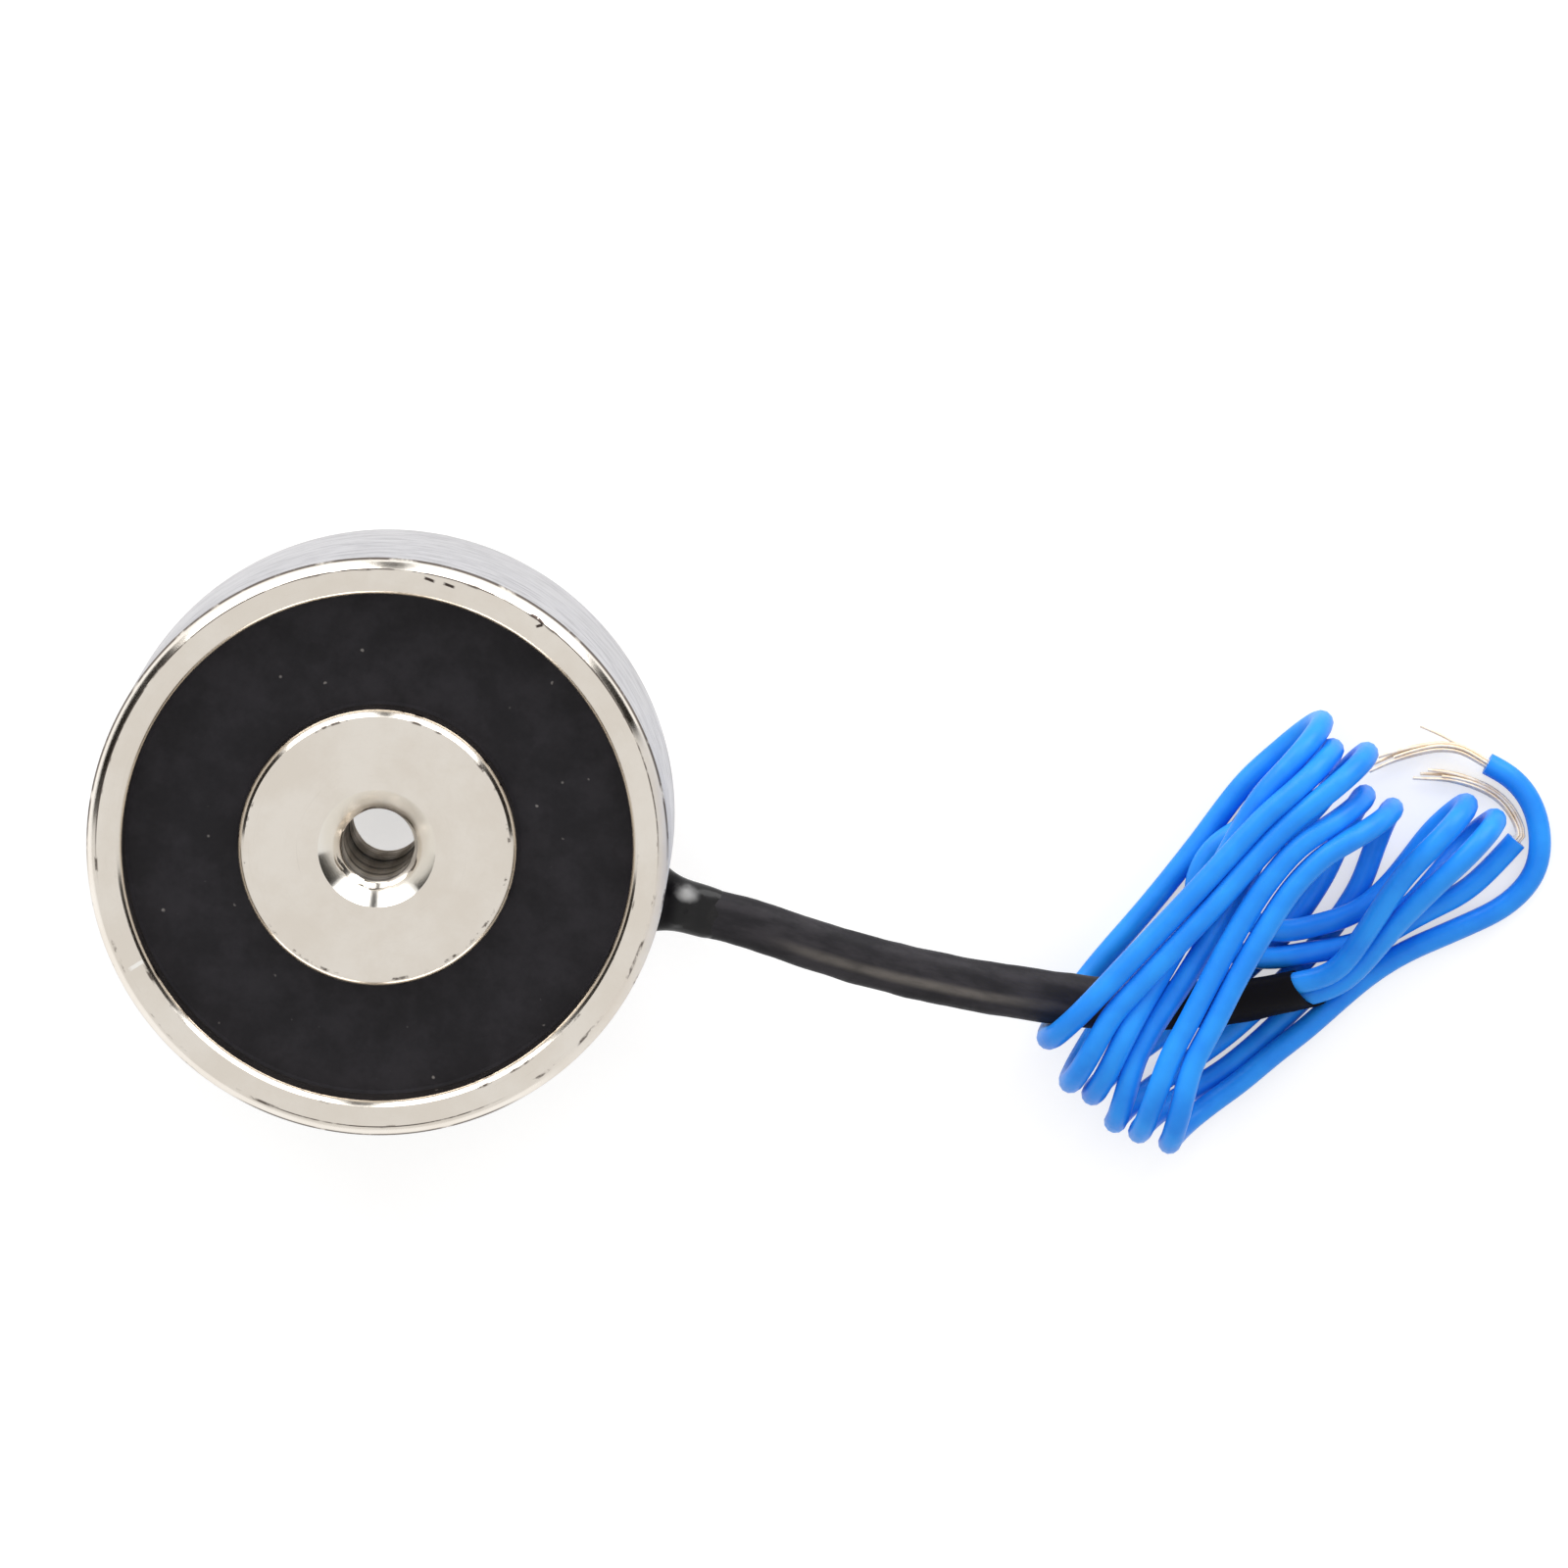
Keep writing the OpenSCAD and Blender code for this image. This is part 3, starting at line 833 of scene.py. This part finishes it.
def bore_radius(z, turn):
    """Radius of the tapped hole: a 60 degree thread between two countersinks."""
    depth = COUNTERSINK_R - BORE_R
    cone = BORE_R + max(0.0, z - (POT_H - depth), depth - z)
    phase = (z / THREAD_PITCH + turn / (2 * math.pi)) % 1.0
    ridge = min(1.0, abs(2 * phase - 1) * 1.25)
    thread = BORE_R + (THREAD_R - BORE_R) * (1 - ridge)
    return max(cone, thread)


def build_pot(bm):
    outline = bevelled([
        (COUNTERSINK_R, 0), (POT_R - EDGE_CHAMFER, 0), (POT_R, EDGE_CHAMFER),
        (POT_R, POT_H - EDGE_CHAMFER), (POT_R - EDGE_CHAMFER, POT_H), (GROOVE_R + RIM_CHAMFER, POT_H),
        (GROOVE_R, POT_H - RIM_CHAMFER), (GROOVE_R, FLOOR_T), (POLE_R, FLOOR_T),
        (POLE_R, POT_H - POLE_CHAMFER), (POLE_R - POLE_CHAMFER, POT_H), (COUNTERSINK_R, POT_H),
    ])
    turns = [2 * math.pi * k / POT_SIDES for k in range(POT_SIDES)]
    rings = []
    for r, z in outline[1:-1]:
        rings.append([bm.verts.new((r * math.cos(t), r * math.sin(t), z)) for t in turns])
    rows = round(POT_H / THREAD_PITCH) * THREAD_RINGS
    for i in range(rows + 1):
        z = POT_H * (1 - i / rows)
        ring = []
        for t in turns:
            r = bore_radius(z, t)
            ring.append(bm.verts.new((r * math.cos(t), r * math.sin(t), z)))
        rings.append(ring)
    skin(bm, rings, loop=True)


pot = mesh_piece("turned_pot", build_pot, steel, math.radians(28))


# What each piece stands for, and materials for the parts inside the pot

for piece, slot_name, nodes in (
    (pot, "plated_steel", ["pot_housing"]),
    (seal, "resin", ["lead_exit_seal"]),
    (sleeve, "heat_shrink", ["lead_sleeve"]),
    (wire_a, "blue_insulation", ["feed_wire_a", "lead_hank", "tail_wire_a"]),
    (wire_b, "blue_insulation", ["feed_wire_b", "lead_hank", "tail_wire_b"]),
    (strands_a, "tinned_strands", ["bare_end_a"]),
    (strands_b, "tinned_strands", ["bare_end_b"]),
):
    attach(piece, "root")
    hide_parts(*nodes)

for node_name, material in (
    ("potting_compound", resin),
    ("coil_bobbin", nylon),
    ("coil_winding", copper),
    ("winding_tape", tape),
    ("inner_lead_a", blue),
    ("inner_lead_b", blue),
    ("splice_sleeve_a", sleeve_black),
    ("splice_sleeve_b", sleeve_black),
):
    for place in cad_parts[node_name].material_slots:
        place.material = material


# Floor, world, lamps and cards

FLOOR_REACH = 2.5
FLOOR_GLOW = 0.58
# Lamps and cards: angles round the pot in degrees, from the top of the picture to its right
SOFTBOXES = (("softbox_left", -26), ("softbox_right", 29))
SOFTBOX_DISTANCE = 0.65
SOFTBOX_HEIGHT = 0.23
SOFTBOX_SIZE = (0.52, 0.46)
SOFTBOX_POWER = 2.2
CARDS = (("card_left", -92, -52), ("card_middle", -2, 5), ("card_right", 54, 92))
CARD_DISTANCE = 0.55
CARD_EDGES = (0.001, 0.3)
CARD_STEPS = 12


def make_floor():
    """A wide white floor, lit up by itself where it is seen and mirrored."""
    s = Shader("floor")
    light_path = s.node("LightPath").outputs
    seen = s.either(*(light_path[f"Is {kind} Ray"] for kind in ("Camera", "Glossy", "Transmission")))
    white = s.finish(
        base_color=(0.55, 0.55, 0.55, 1), roughness=0.9, specular_ior_level=0.0,
        emission_color=(1, 1, 1, 1), emission_strength=s.both(seen, FLOOR_GLOW),
    )

    def build(bm):
        corners = [(-1, -1), (1, -1), (1, 1), (-1, 1)]
        bm.faces.new([bm.verts.new((x * FLOOR_REACH, y * FLOOR_REACH, 0)) for x, y in corners])

    floor = mesh_piece("floor", build, white)


def make_world():
    """An even warm studio, plain white where the camera sees it."""
    world = bpy.data.worlds.new("studio")
    scene.world = world
    world.use_nodes = True
    nodes, links = world.node_tree.nodes, world.node_tree.links
    studio = nodes["Background"]
    studio.inputs["Color"].default_value = (1.0, 0.985, 0.96, 1)
    studio.inputs["Strength"].default_value = 0.85
    backdrop = nodes.new("ShaderNodeBackground")
    backdrop.inputs["Color"].default_value = (1, 1, 1, 1)
    backdrop.inputs["Strength"].default_value = 1.0
    choice = nodes.new("ShaderNodeMixShader")
    links.new(nodes.new("ShaderNodeLightPath").outputs["Is Camera Ray"], choice.inputs[0])
    links.new(studio.outputs[0], choice.inputs[1])
    links.new(backdrop.outputs[0], choice.inputs[2])
    links.new(choice.outputs[0], nodes["World Output"].inputs["Surface"])


def round_pot(degrees, distance, height):
    """A place at an angle round the pot, as lamps and cards have it."""
    turn = math.radians(degrees)
    return (image_up * math.cos(turn) + image_right * math.sin(turn)) * distance + Vector((0, 0, height))


def make_softboxes():
    for name, degrees in SOFTBOXES:
        data = bpy.data.lights.new(name, "AREA")
        data.shape = "RECTANGLE"
        data.size, data.size_y = SOFTBOX_SIZE
        data.energy = SOFTBOX_POWER
        lamp = bpy.data.objects.new(name, data)
        place = round_pot(degrees, SOFTBOX_DISTANCE, SOFTBOX_HEIGHT)
        lamp.matrix_world = facing(place, Vector((0, 0, POT_H)), Vector((0, 0, 1)))
        scene.collection.objects.link(lamp)


def make_cards():
    """Black cards that only the steel's reflections show."""
    s = Shader("black_card")
    black = s.finish(base_color=(0.02, 0.017, 0.014, 1), roughness=0.9, specular_ior_level=0.0)
    for name, start, end in CARDS:
        def build(bm):
            rows = []
            for k in range(CARD_STEPS + 1):
                degrees = start + (end - start) * k / CARD_STEPS
                places = [round_pot(degrees, CARD_DISTANCE, height) for height in CARD_EDGES]
                rows.append([bm.verts.new(p) for p in places])
            skin(bm, rows, close_round=False)

        card = mesh_piece(name, build, black)
        card.visible_camera = False
        card.visible_diffuse = False
        card.visible_transmission = False
        card.visible_shadow = False


make_floor()
make_world()
make_softboxes()
make_cards()

scene.view_settings.view_transform = "Standard"
